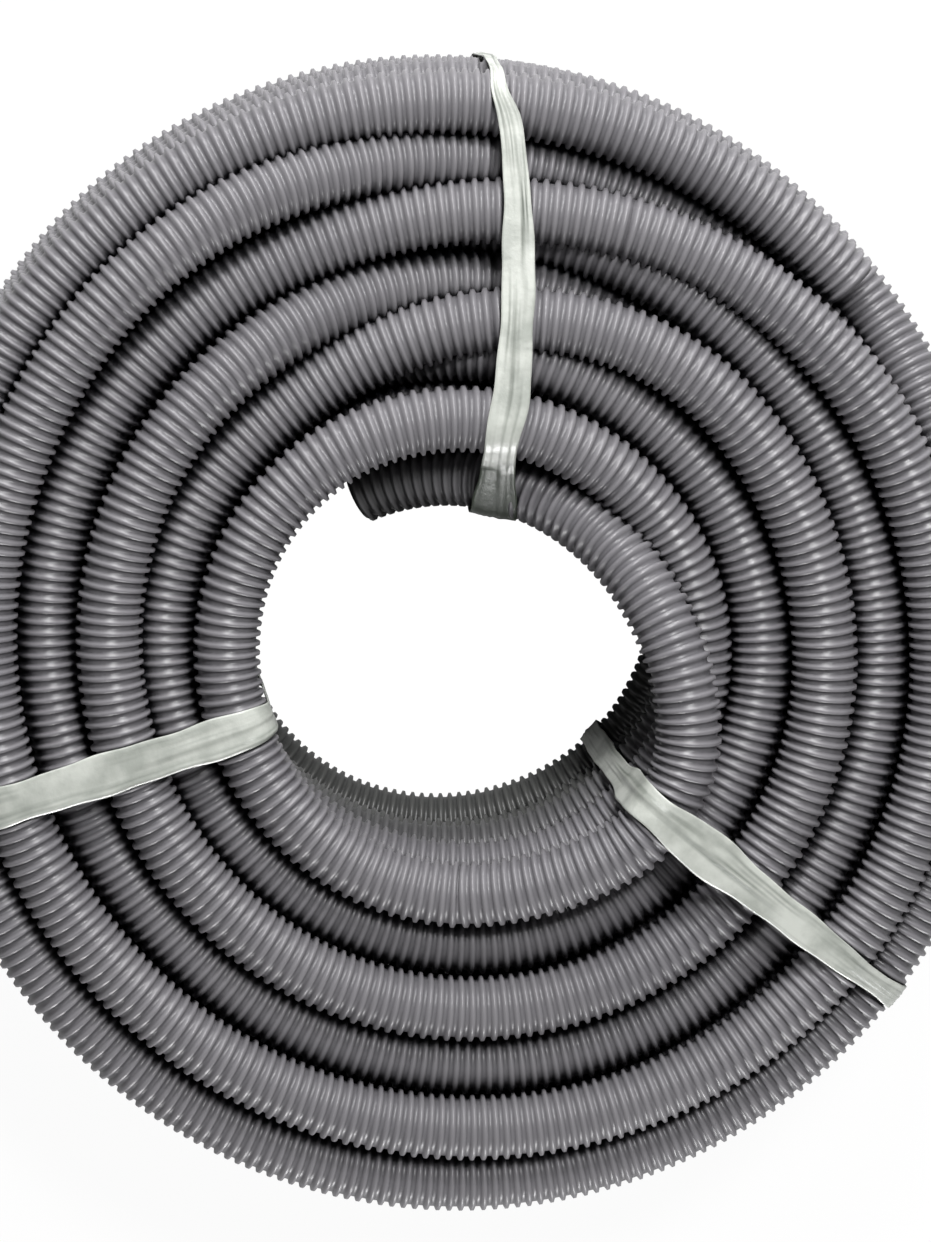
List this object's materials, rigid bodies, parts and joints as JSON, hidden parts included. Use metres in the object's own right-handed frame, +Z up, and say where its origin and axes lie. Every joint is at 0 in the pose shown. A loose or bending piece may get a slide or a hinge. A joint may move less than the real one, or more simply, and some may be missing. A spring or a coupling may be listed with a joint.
{
  "type": "coil of corrugated conduit",
  "caption": "Coil of grey corrugated plastic conduit lying flat, its nested turns held by three film straps, the inner end sprung across the eye.",
  "frame": {"origin": "on the floor under the middle of the coil, which lies on its rear face", "axes": "+Z up along the coil's axis, out of its front face, +Y towards the coil's top as it hangs, +X to the right seen from the front"},
  "size_m": [0.433, 0.434, 0.141],
  "materials": {
    "conduit_plastic": "grey PVC, satin, with close round rings",
    "strap_film": "pale translucent wrapping film, folded and creased into bands"
  },
  "bodies": {
    "root": {"conduit": "conduit_plastic", "strap_top": "strap_film", "strap_left": "strap_film", "strap_right": "strap_film"}
  },
  "joints": []
}
